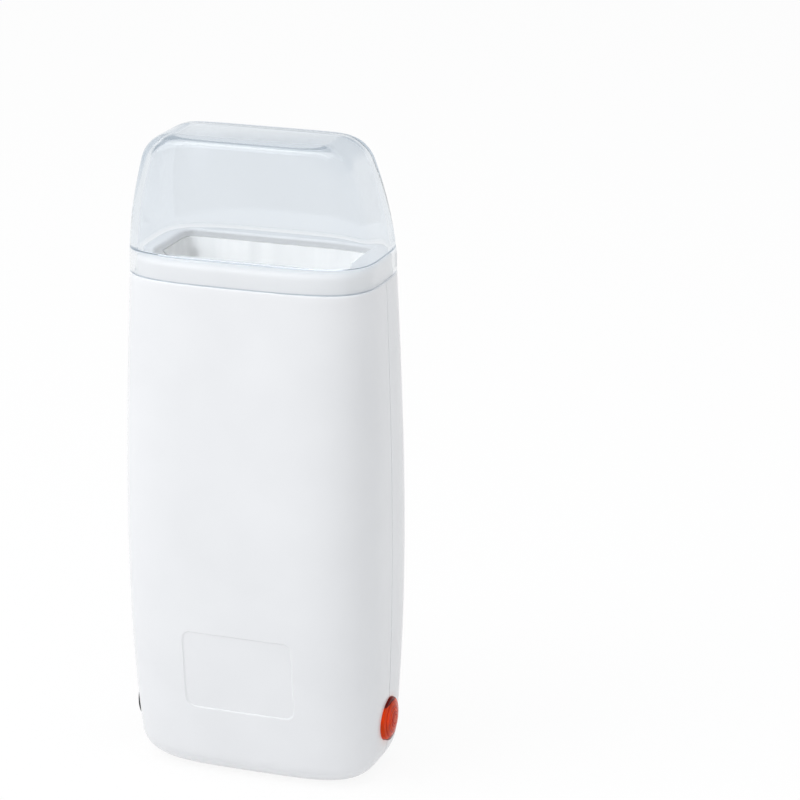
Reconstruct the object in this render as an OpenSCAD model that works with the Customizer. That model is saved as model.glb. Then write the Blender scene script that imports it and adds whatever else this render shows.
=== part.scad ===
// Heater for roll-on wax cartridges: an upright two-shell housing with a heated tub in its mouth
// and a clear lift-off lid.
// +Z is up, the front faces -Y, the pilot lamp is on +X and the mains inlet on -X.
// The origin is under the middle of the foot.

/* [Body] */
// Height of the shoulder that the lid stands on
shoulder_z = 163.5; // [158:0.5:168]
// Width at the foot, before its edge is rounded
foot_w = 79.6; // [78:0.1:82]
// Width a third of the way up
lower_w = 84; // [83:0.1:86]
// Width two thirds of the way up
upper_w = 83.7; // [82.5:0.1:86]
// Width at the shoulder
shoulder_w = 80.5; // [79.5:0.1:82]
// Depth at the foot, before its edge is rounded
foot_d = 40.6; // [39:0.1:44]
// Depth a third of the way up
lower_d = 55.9; // [55:0.1:58]
// Depth two thirds of the way up
upper_d = 55.5; // [54.5:0.1:58]
// Depth at the shoulder
shoulder_d = 48.9; // [48:0.1:50]
// Fullness of the corners in plan: 2 is an ellipse, more is squarer
body_full = 3.7; // [3.4:0.1:4.2]
// Radius of the foot's edge at the sides
foot_round_w = 10.3; // [9:0.1:12]
// Radius of the foot's edge at the front and back
foot_round_d = 8; // [7:0.1:9]
// Wall of the two shells
wall = 2.2; // [2:0.1:2.4]

/* [Label recess] */
// Width of the shallow rating-label recess on the front
label_w = 36.6; // [30:0.1:40]
// Height of the recess
label_h = 26.5; // [20:0.1:30]
// Height of its lower edge above the foot
label_z = 24.9; // [22:0.1:28]
// Depth of the recess
label_deep = 0.35; // [0.25:0.05:0.5]

/* [Mouth and tub] */
// Height of the collar's rim above the shoulder
neck_h = 7.1; // [6:0.1:8]
// How far the neck stands inside the shoulder's edge
neck_in = 1.75; // [1.6:0.05:1.9]
// Width of the opening for the cartridge
mouth_w = 62.6; // [60:0.1:63]
// Depth of the opening, front to back
mouth_d = 29.2; // [28:0.1:29.6]
// Height of the plain white band above the tub's edge
mouth_band = 2.4; // [2:0.1:3]
// Radius of the mouth's corners
mouth_round = 4; // [3.5:0.1:4.5]
// Depth of the aluminium tub below its own edge
tub_h = 109; // [105:1:112]
// Thickness of the tub's sheet
tub_sheet = 1; // [0.8:0.1:1.1]

/* [Lid] */
// Height of the lid
lid_h = 43.9; // [40:0.1:48]
// Height of the lid's upright skirt
lid_skirt = 5; // [4:0.5:6]
// Width of the lid at its top, before its edge is rounded
lid_top_w = 64.8; // [63:0.1:68]
// How far the side walls belly out between skirt and top
lid_belly = 1.1; // [0.8:0.1:2]
// Distance from the middle to the front of the lid's top
lid_top_front = 16.2; // [15:0.1:18]
// Distance from the middle to the back of the lid's top
lid_top_back = 8.4; // [8:0.1:11]
// Fullness of the lid's corners at its top, more than the body's: the walls square up as they rise
lid_full = 7; // [4:0.5:8]
// Radius of the top's edge at the sides
lid_round_side = 7.5; // [7:0.5:9]
// Radius of the top's edge at the front
lid_round_front = 2.6; // [2.2:0.1:4]
// Radius of the top's edge at the back
lid_round_back = 2.8; // [2.5:0.1:3.5]
// Wall of the lid
lid_wall = 2; // [1.8:0.1:2.2]

/* [Pilot lamp] */
// Radius of the lens
lens_r = 7.1; // [6.5:0.1:7.5]
// Height of the lamp and of the inlet above the foot
service_z = 18.6; // [18:0.1:19.5]
// How far the lens stands out of the side
lens_proud = 2.4; // [1.5:0.1:2.6]

/* [Mains inlet] */
// Width of the inlet's face
inlet_w = 26; // [25:0.1:26.5]
// Height of the inlet's face
inlet_h = 15.6; // [15:0.1:16]
// Spacing of the two pins
pin_gap = 8.6; // [8.5:0.1:8.7]
// Radius of a pin
pin_r = 1.2; // [1.15:0.05:1.25]

/* [Hidden] */
$fn = 48;

fit = 0.15;          // gap between parts that slip together
tiny = 0.01;         // overshoot of a cut past the face that it opens

// Lofts: sides of a whole ring, rings in the rounded foot and rings above it
ring_sides = 64;
foot_rings = 6;
body_rings = 14;

rim_z = shoulder_z + neck_h;
tub_top = rim_z - mouth_band;
tub_floor = tub_top - tub_h;
tub_w = mouth_w - 0.6 + 2 * tub_sheet;
tub_d = mouth_d - 0.6 + 2 * tub_sheet;
tub_round = mouth_round + 1;
bead_z = shoulder_z - 6.5;      // underside of the tub's bead
bead_h = 1.2;
bead_out = 2;
rib_t = 1.6;
lid_top = shoulder_z + lid_h;

screw_x = 24;
screw_z = 38;
screw_seat = 12;                // the heads' seat behind the seam
hook_zs = [85, 135];            // heights of the snap hooks that close the upper half
tongue_out = 1.6;               // how far the seam's tongue stands past the seam

lens_seat = 40.2;               // the lens's flange sits on this plane
inlet_face = 40.3;              // plane of the inlet's face
cavity_deep = 11;
pin_root = inlet_face - cavity_deep;
pin_out = 8.5;
inlet_back = 23;

stud_r = 1.5;
ptc_w = 36;
ptc_h = 24;
ptc_t = 4.6;
ptc_z = 97;
strap_w = 14;
strap_t = 0.8;
strap_stud = 24.5;
film_t = 0.2;
ear_x = 11.9;
fuse_x = 19.5;
fuse_r = 2.5;
clip_stud = 26;

lead_r = 0.9;
lamp_lead_r = 0.7;

ABS = "#f4f5f6";
CLEAR = [0.86, 0.93, 0.96, 0.35];
ALUMINIUM = "#c9ccd0";
STEEL = "#b3b6ba";
BRASS = "#c8a451";
PHENOLIC = "#2b2725";
AMBER = [0.92, 0.25, 0.06, 0.85];
BLACK = "#18181a";

// ---------------------------------------------------------------- outline rules

// Smooth curve through four evenly spaced values; t runs from 0 to 1
function through4(v, t) =
    let (a = t - 1 / 3, b = t - 2 / 3, c = t - 1)
    (-v[0] * a * b * c + 3 * v[1] * t * b * c - 3 * v[2] * t * a * c + v[3] * t * a * b) * 9 / 2;

// How far an edge of radius r is drawn in at a height k above the flat it rounds into
function drawn_in(r, k) = k >= r ? 0 : r - sqrt(max(0, r * r - (r - k) * (r - k)));

function side_half(z) = through4([foot_w, lower_w, upper_w, shoulder_w], z / shoulder_z) / 2;
function face_half(z) = through4([foot_d, lower_d, upper_d, shoulder_d], z / shoulder_z) / 2;

// Half width and half depth of the body at height z, on a surface `deep` inside the skin
function body_a(z, deep = 0) =
    side_half(z) - deep - drawn_in(foot_round_w - deep, z - deep);
function body_b(z, deep = 0) =
    face_half(z) - deep - drawn_in(foot_round_d - deep, z - deep);

// Point at angle q of a full-cornered oval with half axes a and b
function oval(a, b, full, q) = [
    a * sign(cos(q)) * pow(abs(cos(q)), 2 / full),
    b * sign(sin(q)) * pow(abs(sin(q)), 2 / full)
];
function oval_points(a, b, full = body_full) =
    [for (i = [0:ring_sides - 1]) oval(a, b, full, 360 * i / ring_sides)];

// Depth of the front skin at x, z, for a surface `deep` inside it
function front_y(x, z, deep = 0) =
    -body_b(z, deep) * pow(1 - pow(abs(x) / body_a(z, deep), body_full), 1 / body_full);

// ---------------------------------------------------------------- lofts and plates

// Faces of a grid of rows rings by n points, open along the ring unless closed
function grid_faces(rows, n, at = 0, closed = false, flip = false) = [
    for (i = [0:rows - 2], j = [0:closed ? n - 1 : n - 2])
        let (
            k = (j + 1) % n,
            a = at + i * n + j, b = at + i * n + k,
            c = at + (i + 1) * n + k, d = at + (i + 1) * n + j
        )
        each (flip ? [[a, b, c], [a, c, d]] : [[a, c, b], [a, d, c]])
];
function fan(n, at, flip = false) =
    [for (j = [1:n - 2]) flip ? [at, at + j, at + j + 1] : [at, at + j + 1, at + j]];

// Height of ring i of the body, on the surface `deep` inside the skin
function ring_z(i, deep = 0) =
    let (r = foot_round_w - deep)
    i <= foot_rings
        ? deep + r * (1 - cos(90 * i / foot_rings))
        : deep + r + (shoulder_z - deep - r) * (i - foot_rings) / body_rings;

// Half ring of the front, from -X round the front to +X
function half_ring(z, deep) = [
    for (j = [0:ring_sides / 2])
        let (p = oval(body_a(z, deep), body_b(z, deep), body_full, 180 + 360 * j / ring_sides))
        [p[0], p[1], z]
];

// The front half of the housing as one open-backed, open-topped wall
module half_wall() {
    rows = foot_rings + body_rings + 1;
    n = ring_sides / 2 + 1;
    inner = rows * n;
    points = concat(
        [for (i = [0:rows - 1]) each half_ring(ring_z(i), 0)],
        [for (i = [0:rows - 1]) each half_ring(ring_z(i, wall), wall)]
    );
    top = (rows - 1) * n;
    rim = [for (j = [0:n - 2])
        each [[top + j, inner + top + j + 1, top + j + 1], [top + j, inner + top + j, inner + top + j + 1]]];
    seam_left = [for (i = [0:rows - 2])
        let (a = i * n, b = a + n)
        each [[a, inner + b, b], [a, inner + a, inner + b]]];
    seam_right = [for (i = [0:rows - 2])
        let (a = i * n + n - 1, b = a + n)
        each [[a, b, inner + b], [a, inner + b, inner + a]]];
    seam_foot = [[0, n - 1, inner + n - 1], [0, inner + n - 1, inner]];
    polyhedron(
        points,
        concat(
            grid_faces(rows, n), grid_faces(rows, n, inner, flip = true),
            fan(n, 0, flip = true), fan(n, inner), rim, seam_left, seam_right, seam_foot
        ),
        convexity = 6
    );
}

// A closed loft through rings of n points each
module loft(rings) {
    n = len(rings[0]);
    rows = len(rings);
    polyhedron(
        [for (ring = rings) each ring],
        concat(grid_faces(rows, n, closed = true), fan(n, 0, flip = true), fan(n, (rows - 1) * n)),
        convexity = 4
    );
}

module round_rect(w, d, r) {
    square([w - 2 * r, d], center = true);
    square([w, d - 2 * r], center = true);
    for (x = [-1, 1], y = [-1, 1]) translate([x * (w / 2 - r), y * (d / 2 - r)]) circle(r);
}

module stadium(w, h) {
    square([w - h, h], center = true);
    for (s = [-1, 1]) translate([s * (w - h) / 2, 0]) circle(d = h);
}

module body_plate(z, deep, t) {
    translate([0, 0, z]) linear_extrude(t) polygon(oval_points(body_a(z, deep), body_b(z, deep)));
}

// Outline of the seam in x and z, `deep` inside the skin, up to a height
function seam_side(deep, top) = concat(
    [for (i = [0:foot_rings]) let (z = ring_z(i, deep)) [body_a(z, deep), z]],
    [for (i = [1:8])
        let (z = foot_round_w + (top - foot_round_w) * i / 8)
        [body_a(z, deep), z]]
);
function mirrored(side) = [for (i = [len(side) - 1:-1:0]) [-side[i][0], side[i][1]]];
module seam_outline(deep, top) {
    side = seam_side(deep, top);
    polygon(concat(side, mirrored(side)));
}

// Lays a plate drawn in x and z between two depths
module upright(y0, y1) {
    translate([0, y1, 0]) rotate([90, 0, 0]) linear_extrude(y1 - y0) children();
}

// Lays a plate drawn in y and z between two places along X
module sideways(x0, x1) {
    translate([x0, 0, 0]) rotate([90, 0, 90]) linear_extrude(x1 - x0) children();
}

module hex_nut(across, h, bore_r) {
    difference() {
        cylinder(h, d = across / cos(30), $fn = 6);
        translate([0, 0, -1]) cylinder(h + 2, r = bore_r);
    }
}

// ---------------------------------------------------------------- housing

// Rounded slab that takes the outer skin away to a given depth, inside an outline drawn in x and z
module skin_cut(w, h, r, z0, deep) {
    steps = 8;
    x0 = w / 2 + 2;
    z1 = z0 - 2;
    dz = h + 4;
    skin = [for (i = [0:steps], j = [0:steps])
        let (x = x0 * (2 * j / steps - 1), z = z1 + dz * i / steps)
        [x, front_y(x, z, deep), z]];
    n = steps + 1;
    intersection() {
        upright(-40, 0) translate([0, z0 + h / 2]) round_rect(w, h, r);
        polyhedron(
            concat(skin, [for (p = skin) [p[0], -36, p[2]]]),
            concat(
                grid_faces(n, n, flip = true), grid_faces(n, n, n * n),
                [for (j = [0:steps - 1]) each [[j, n * n + j + 1, j + 1], [j, n * n + j, n * n + j + 1]]],
                [for (j = [0:steps - 1])
                    let (a = steps * n + j)
                    each [[a, a + 1, n * n + a + 1], [a, n * n + a + 1, n * n + a]]],
                [for (i = [0:steps - 1])
                    let (a = i * n)
                    each [[a, a + n, n * n + a + n], [a, n * n + a + n, n * n + a]]],
                [for (i = [0:steps - 1])
                    let (a = i * n + steps)
                    each [[a, n * n + a + n, a + n], [a, n * n + a, n * n + a + n]]]
            )
        );
    }
}

// Cross ribs that hold the tub, from `start` in front of the seam
module tub_ribs(start = 0) {
    for (z = [66, 120, bead_z - fit - rib_t])
        intersection() {
            difference() {
                body_plate(z, wall / 2, rib_t);
                translate([0, 0, z - 1]) linear_extrude(rib_t + 2)
                    round_rect(tub_w + 2 * fit, tub_d + 2 * fit, tub_round + fit);
            }
            translate([-60, -60, 0]) cube([120, 60 - start, 200]);
        }
}

// Openings that the lamp and the inlet share between the two shells
module service_holes() {
    translate([0, 0, service_z]) rotate([0, 90, 0]) {
        cylinder(60, r = 6.05);
        translate([0, 0, lens_seat]) cylinder(10, r = lens_r + fit / 2);
    }
    sideways(-60, -30) translate([0, service_z]) stadium(inlet_w + 2 * fit, inlet_h + 2 * fit);
}

// Tongue of the front shell that laps inside the rear one; it stops clear of the lamp and inlet
module tongue() {
    difference() {
        union() {
            upright(-1.8, tongue_out) difference() {
                seam_outline(wall + 0.12, 150);
                seam_outline(wall + 1.12, 151);
            }
            upright(-1.8, 0) difference() {
                seam_outline(wall - 0.4, 150);
                seam_outline(wall + 0.6, 151);
            }
        }
        translate([-60, -5, 4]) cube([120, 10, 27]);
        translate([-60, -5, -1]) cube([32, 10, 20]);
    }
}

// Upright web behind the inlet's flange
module inlet_web() {
    x = -pin_root - 3.5;
    difference() {
        sideways(x - 1.5, x) polygon(concat(
            [[0, 29], [0, 2.1]],
            [for (z = [2.6, 4, 6, 9, 14, 19, 24, 29]) [front_y(x - 0.8, z, wall / 2), z]]
        ));
        sideways(x - 5, x + 5) translate([0, service_z]) stadium(23 + 2 * fit, 13.2 + 2 * fit);
    }
}

// Groove under the shoulder that grips the collar's bead
module collar_groove() {
    body_plate(shoulder_z - 4.1, wall - 1.1, 1.8);
}

module front_shell() {
    color(ABS) difference() {
        union() {
            half_wall();
            tub_ribs();
            tongue();
            inlet_web();
            for (s = [-1, 1]) {
                translate([s * screw_x, 0, screw_z]) rotate([90, 0, 0])
                    cylinder(-front_y(screw_x, screw_z, wall / 2) - 0.5, r = 4);
                for (z = hook_zs) snap_hook(s, z);
            }
        }
        for (s = [-1, 1])
            translate([s * screw_x, tiny, screw_z]) rotate([90, 0, 0]) cylinder(10, r = 1.52);
        service_holes();
        collar_groove();
        skin_cut(label_w, label_h, 3, label_z, label_deep);
    }
}

// Barbed hook on a web of the front shell; it springs over the rear shell's catch
module snap_hook(s, z) {
    in = body_a(z, wall) - 4;
    mirror([s < 0 ? 1 : 0, 0, 0]) {
        translate([0, 0, z - 4]) linear_extrude(8)
            polygon([[in, -8], [in + 1.5, -8], [in + 1.5, 4.9], [in + 2.7, 4.9], [in + 1.5, 7.5], [in, 7.5]]);
        translate([in, -8, z - 1]) cube([5, 6, 2]);
    }
}

module catch(s, z) {
    in = body_a(z, wall) - 4;
    mirror([s < 0 ? 1 : 0, 0, 0]) translate([in + 1.75, 2.7, z - 4]) cube([3.2, 2, 8]);
}

module rear_shell() {
    depth = -front_y(screw_x, screw_z, wall / 2);
    color(ABS) difference() {
        mirror([0, 1, 0]) union() {
            half_wall();
            tub_ribs(tongue_out + 0.3);
            inlet_web();
            for (s = [-1, 1]) {
                translate([s * screw_x, 0, screw_z]) rotate([90, 0, 0]) cylinder(depth, r = 5);
                for (z = hook_zs) mirror([0, 1, 0]) catch(s, z);
            }
        }
        for (s = [-1, 1]) translate([s * screw_x, 0, screw_z]) rotate([-90, 0, 0]) {
            translate([0, 0, -tiny]) cylinder(30, r = 1.7);
            translate([0, 0, screw_seat]) cylinder(30, r = 3.3);
        }
        service_holes();
        collar_groove();
        // Wires to the heater pass the lowest rib here
        translate([-9, 15, 60]) cube([18, 6, 12]);
    }
}

module case_screws() {
    color(STEEL) for (s = [-1, 1])
        translate([s * screw_x, screw_seat, screw_z]) rotate([90, 0, 0]) {
            cylinder(18, r = stud_r);
            difference() {
                translate([0, 0, -2.2]) cylinder(2.2, r = 2.9);
                for (q = [0, 90]) rotate(q) translate([-1.7, -0.4, -2.3]) cube([3.4, 0.8, 1.2]);
            }
        }
}

// ---------------------------------------------------------------- mouth and tub

module mouth_collar() {
    edge = 3;
    a = shoulder_w / 2 - wall - fit;
    b = shoulder_d / 2 - wall - fit;
    skirt = 5;
    sleeve = 1.6;
    color(ABS) difference() {
        union() {
            // Neck, parallel to the lid's skirt, with a rounded top edge
            loft(concat(
                [lid_ring(shoulder_z + tiny, neck_in)],
                [for (q = [0:18:90]) lid_ring(rim_z - edge + edge * sin(q), neck_in + edge - edge * cos(q))]
            ));
            translate([0, 0, shoulder_z - skirt]) linear_extrude(skirt + 1) polygon(oval_points(a, b));
            body_plate(shoulder_z - 3.95, wall - 0.95, 1.5);
        }
        // Hollow underside, with a sleeve left standing round the tub
        difference() {
            translate([0, 0, shoulder_z - skirt - 1]) linear_extrude(skirt + neck_h - 2.5)
                polygon(oval_points(a - 1.8, b - 1.8));
            translate([0, 0, shoulder_z - skirt - 2]) linear_extrude(30)
                round_rect(tub_w + 2 * (fit + sleeve), tub_d + 2 * (fit + sleeve), tub_round + fit + sleeve);
        }
        translate([0, 0, shoulder_z - 20]) linear_extrude(60) round_rect(mouth_w, mouth_d, mouth_round);
        translate([0, 0, shoulder_z - 20]) linear_extrude(tub_top + fit - shoulder_z + 20)
            round_rect(tub_w + 2 * fit, tub_d + 2 * fit, tub_round + fit);
        // Eased inner edge of the rim
        hull() {
            translate([0, 0, rim_z - 0.7]) linear_extrude(tiny)
                round_rect(mouth_w - 0.1, mouth_d - 0.1, mouth_round, $fn = 32);
            translate([0, 0, rim_z + tiny]) linear_extrude(tiny)
                round_rect(mouth_w + 1.4, mouth_d + 1.4, mouth_round + 0.7, $fn = 32);
        }
    }
}

// Deep-drawn box: upright walls with round corners, and a bottom edge of the same radius
module drawn_box(w, d, h, r) {
    translate([0, 0, r]) linear_extrude(h - r) round_rect(w, d, r);
    translate([-w / 2 + r, -d / 2 + r, 0]) cube([w - 2 * r, d - 2 * r, r + 1]);
    for (s = [-1, 1]) {
        translate([-w / 2 + r, s * (d / 2 - r), r]) rotate([0, 90, 0]) cylinder(w - 2 * r, r = r);
        translate([s * (w / 2 - r), d / 2 - r, r]) rotate([90, 0, 0]) cylinder(d - 2 * r, r = r);
        for (t = [-1, 1]) translate([s * (w / 2 - r), t * (d / 2 - r), r]) sphere(r);
    }
}

module heating_tub() {
    color(ALUMINIUM) union() {
        difference() {
            union() {
                translate([0, 0, tub_floor - tub_sheet])
                    drawn_box(tub_w, tub_d, tub_h + tub_sheet, tub_round);
                translate([0, 0, bead_z]) linear_extrude(bead_h)
                    round_rect(tub_w + 2 * bead_out, tub_d + 2 * bead_out, tub_round + bead_out);
            }
            translate([0, 0, tub_floor])
                drawn_box(tub_w - 2 * tub_sheet, tub_d - 2 * tub_sheet, tub_h + 1, tub_round - tub_sheet);
        }
        for (s = [-1, 1]) {
            translate([s * strap_stud, tub_d / 2 - 0.5, ptc_z]) rotate([-90, 0, 0]) cylinder(5.5, r = stud_r);
            translate([s * ear_x, 0, tub_floor - tub_sheet - 6.5]) cylinder(7, r = stud_r);
        }
        translate([clip_stud, 0, tub_floor - tub_sheet - 6.5]) cylinder(7, r = stud_r);
    }
}

// ---------------------------------------------------------------- heater and its controls

tub_back = tub_d / 2;
tub_under = tub_floor - tub_sheet;

module ptc_heater() {
    y0 = tub_back + film_t;
    color(ALUMINIUM) difference() {
        upright(y0, y0 + ptc_t) translate([0, ptc_z]) round_rect(ptc_w, ptc_h, 1.2);
        // Rebates at the ends, where the case is folded over
        for (s = [-1, 1]) translate([s * (ptc_w / 2 - 1.5) - 1, y0 + ptc_t - 0.6, ptc_z - 20]) cube([2, 2, 40]);
    }
    color(BRASS) for (s = [-1, 1])
        translate([s * 6, y0 + ptc_t / 2, ptc_z - ptc_h / 2 - 4]) cylinder(4, r = 0.5);
}

// Insulating film wrapped round the heater, under the tub side and under the strap
module heater_film() {
    color("#b5772a") for (y = [tub_back, tub_back + film_t + ptc_t])
        upright(y, y + film_t) translate([0, ptc_z]) round_rect(ptc_w - 2, ptc_h + 4, 1.5);
}

module clamp_strap() {
    rise = tub_back + ptc_t + 2 * film_t;
    y = tub_back;
    foot = strap_stud + 4;
    bend = ptc_w / 2 + 1.2;
    color(STEEL) difference() {
        translate([0, 0, ptc_z - strap_w / 2]) linear_extrude(strap_w) polygon([
            [-foot, y], [-bend - 1.6, y], [-bend + 0.8, rise], [bend - 0.8, rise], [bend + 1.6, y], [foot, y],
            [foot, y + strap_t], [bend + 2.1, y + strap_t], [bend - 0.3, rise + strap_t],
            [-bend + 0.3, rise + strap_t], [-bend - 2.1, y + strap_t], [-foot, y + strap_t]
        ]);
        for (s = [-1, 1]) translate([s * strap_stud, y - 1, ptc_z]) rotate([-90, 0, 0]) cylinder(4, r = stud_r + fit);
    }
}

module stud_nuts() {
    across = 5.5;
    thick = 2.4;
    bore = stud_r + 0.03;
    color(STEEL) {
        for (s = [-1, 1]) {
            translate([s * strap_stud, tub_back + strap_t, ptc_z]) rotate([-90, 0, 0]) hex_nut(across, thick, bore);
            translate([s * ear_x, 0, tub_under - 0.6 - thick]) hex_nut(across, thick, bore);
        }
        translate([clip_stud, 0, tub_under - 0.6 - thick]) hex_nut(across, thick, bore);
    }
}

// Bimetal cut-out, pressed against the tub's underside: metal cap with two ears
module thermostat_cap() {
    color(ALUMINIUM) difference() {
        union() {
            translate([0, 0, tub_under - 4]) cylinder(4, r = 7.8);
            translate([0, 0, tub_under - 0.6]) linear_extrude(0.6) {
                square([2 * ear_x, 7], center = true);
                for (s = [-1, 1]) translate([s * ear_x, 0]) circle(3.5);
            }
        }
        for (s = [-1, 1]) translate([s * ear_x, 0, tub_under - 2]) cylinder(4, r = stud_r + fit);
        translate([0, 0, tub_under - 5]) cylinder(4.4, r = 7.2);
    }
}

module thermostat_body() {
    top = tub_under - 0.9;
    color(PHENOLIC) difference() {
        union() {
            translate([0, 0, top - 9]) cylinder(5.8, r = 7.8);
            translate([0, 0, top - 4]) cylinder(4, r = 7.15);
        }
        for (q = [0, 180]) rotate(q) translate([3, -2.45, tab_z - 0.45]) cube([9, 4.9, 0.9]);
    }
}

module thermostat_tabs() {
    color(BRASS) for (q = [0, 180]) rotate(q) difference() {
        translate([3.1, -2.4, tab_z - 0.4]) cube([11.9, 4.8, 0.8]);
        translate([12.8, 0, tab_z - 2]) cylinder(4, r = 0.8);
    }
}

module thermal_fuse() {
    z = tub_under - 0.1 - fuse_r;
    translate([fuse_x, 0, z]) rotate([90, 0, 0]) {
        color("#efece2") difference() {
            translate([0, 0, -8]) cylinder(16, r = fuse_r);
            translate([0, 0, -9]) cylinder(18, r = 2);
        }
        color(STEEL) {
            translate([0, 0, -5]) cylinder(10, r = 2);
            translate([0, 0, -9]) cylinder(18, r = 0.45);
        }
    }
}

// Saddle that holds the thermal fuse up against the tub
module fuse_clip() {
    z = tub_under - 0.1 - fuse_r;
    r = fuse_r + 0.05;
    t = 0.6;
    color(ALUMINIUM) difference() {
        translate([0, 3, 0]) rotate([90, 0, 0]) linear_extrude(6) {
            difference() {
                union() {
                    translate([fuse_x, z]) circle(r + t);
                    translate([fuse_x + r, z]) square([t, fuse_r + 0.1]);
                }
                translate([fuse_x, z]) circle(r);
                translate([fuse_x - r, z]) square([2 * r, 10]);
                translate([fuse_x - 10, z + 1]) square([10, 10]);
            }
            translate([fuse_x + r, tub_under - t]) square([clip_stud + 3 - fuse_x - r, t]);
        }
        translate([clip_stud, 0, tub_under - 2]) cylinder(4, r = stud_r + fit);
    }
}

// ---------------------------------------------------------------- pilot lamp

// Lens, turned about the lamp's axis: rings on its face and a barrel through the wall
module lamp_lens() {
    face = lens_seat + 1.6;
    proud = side_half(service_z) + lens_proud;
    dome = (lens_r * lens_r) / (2 * (proud - face));
    function crown(r) = proud - dome + sqrt(dome * dome - r * r);
    color(AMBER) translate([0, 0, service_z]) rotate([0, 90, 0]) rotate_extrude($fn = 64) polygon(concat(
        [[3.1, lens_seat - 9.5], [5.9, lens_seat - 9.5], [5.9, lens_seat], [lens_r, lens_seat],
         [lens_r, face - 0.1], [lens_r - 0.15, crown(lens_r - 0.6)]],
        [for (r = [5.6, 4.2, 2.8]) each [
            [r + 0.5, crown(r + 0.5)], [r + 0.25, crown(r) - 0.3], [r, crown(r)]]],
        [[1.4, crown(1.4)], [0, proud], [0, lens_seat - 0.5], [1.4, lens_seat - 0.7],
         [2.4, lens_seat - 1.2], [3.1, lens_seat - 2]]
    ));
}

module lens_washer() {
    x = body_a(service_z - 8, wall) - 0.4;
    color(STEEL) translate([x - 0.8, 0, service_z]) rotate([0, 90, 0]) difference() {
        cylinder(0.8, r = 7.9);
        translate([0, 0, -1]) cylinder(3, r = 5.93);
        for (q = [0:60:300]) rotate(q) translate([5, -0.4, -1]) cube([2, 0.8, 3]);
    }
}

module neon_lamp() {
    color([1, 0.85, 0.75, 0.6]) translate([26, 0, service_z]) rotate([0, 90, 0]) {
        cylinder(10, r = 3);
        translate([0, 0, 10]) intersection() {
            sphere(3);
            cylinder(4, r = 3);
        }
    }
    color(STEEL) translate([23.5, 1.4, service_z]) rotate([0, 90, 0]) cylinder(2.5, r = 0.3);
}

module lamp_resistor() {
    color("#c9a77a") translate([14, -1.4, service_z]) rotate([0, 90, 0]) rotate_extrude($fn = 32) polygon([
        [0, 0], [1.2, 0], [1.3, 0.6], [1.1, 1.4], [1.1, 5], [1.3, 5.8], [1.2, 6.4], [0, 6.4]
    ]);
    color(STEEL) for (x = [11.5, 20.4])
        translate([x, -1.4, service_z]) rotate([0, 90, 0]) cylinder(x < 14 ? 2.5 : 5.6, r = 0.3);
}

// ---------------------------------------------------------------- mains inlet

module inlet_body() {
    color(BLACK) difference() {
        union() {
            sideways(-inlet_face, -35.9) translate([0, service_z]) stadium(inlet_w, inlet_h);
            sideways(-36.1, -34.45) translate([0, service_z]) stadium(27.4, 17.4);
            sideways(-34.6, -inlet_back) translate([0, service_z]) stadium(23, 13.2);
        }
        // Figure-of-eight socket
        sideways(-inlet_face - 1, -pin_root) translate([0, service_z]) {
            for (s = [-1, 1]) translate([s * pin_gap / 2, 0]) circle(3.6);
            square([pin_gap, 5.6], center = true);
        }
        for (s = [-1, 1]) translate([-pin_root - 1, s * pin_gap / 2, service_z]) rotate([0, 90, 0])
            cylinder(20, r = pin_r - 0.2);
    }
}

// Pins with a thinner shank through the inlet's floor, then a flat blade
module inlet_pins() {
    tip = pin_root + pin_out;
    color(STEEL) for (s = [-1, 1]) translate([0, s * pin_gap / 2, service_z]) {
        translate([-tip, 0, 0]) rotate([0, 90, 0]) cylinder(0.6, r1 = 0.7, r2 = pin_r);
        translate([0.6 - tip, 0, 0]) rotate([0, 90, 0]) cylinder(pin_out - 0.6, r = pin_r);
        translate([-pin_root, 0, 0]) rotate([0, 90, 0])
            cylinder(pin_root - inlet_back + 0.1, r = pin_r - 0.22);
        translate([-inlet_back + 0.1, -2.4, -0.4]) cube([8, 4.8, 0.8]);
    }
}

// Insulated push-on terminal: sleeve over a 4.8 mm blade, then the crimp's barrel
terminal_l = 14.5;
module spade_terminal() {
    difference() {
        union() {
            translate([0, -3.1, -1.7]) cube([8.6, 6.2, 3.4]);
            rotate([0, 90, 0]) cylinder(terminal_l, r = 1.8);
        }
        translate([-1, -2.45, -0.45]) cube([9, 4.9, 0.9]);
    }
}

terminal_end = 0.5 + terminal_l - inlet_back;
tab_terminal = 8;
module spade_terminals() {
    color("#b3201c") {
        for (s = [-1, 1]) translate([0.5 - inlet_back, s * pin_gap / 2, service_z]) spade_terminal();
        for (q = [0, 180]) rotate(q) translate([tab_terminal, 0, tab_z]) spade_terminal();
    }
}

// ---------------------------------------------------------------- leads

// Point at t of a smooth curve through the route's points
function spline(p, t) =
    let (
        n = len(p) - 1, i = min(floor(t), n - 1), u = t - i,
        a = p[max(i - 1, 0)], b = p[i], c = p[i + 1], d = p[min(i + 2, n)]
    )
    0.5 * (2 * b + u * (c - a) + u * u * (2 * a - 5 * b + 4 * c - d) + u * u * u * (3 * b - a - 3 * c + d));

function unit(v) = v / norm(v);
// Any two directions square to v
function across(v) = unit(cross(v, abs(v[2]) > 0.9 ? [1, 0, 0] : [0, 0, 1]));

// Next ring's side direction, kept square to the run without twisting
function carried(side, v) = unit(side - v * (side * v));
function sides_along(dirs, i = 0, got = []) =
    i == len(dirs) ? got
    : sides_along(dirs, i + 1, concat(got, [i == 0 ? across(dirs[0]) : carried(got[i - 1], dirs[i])]));

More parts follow.
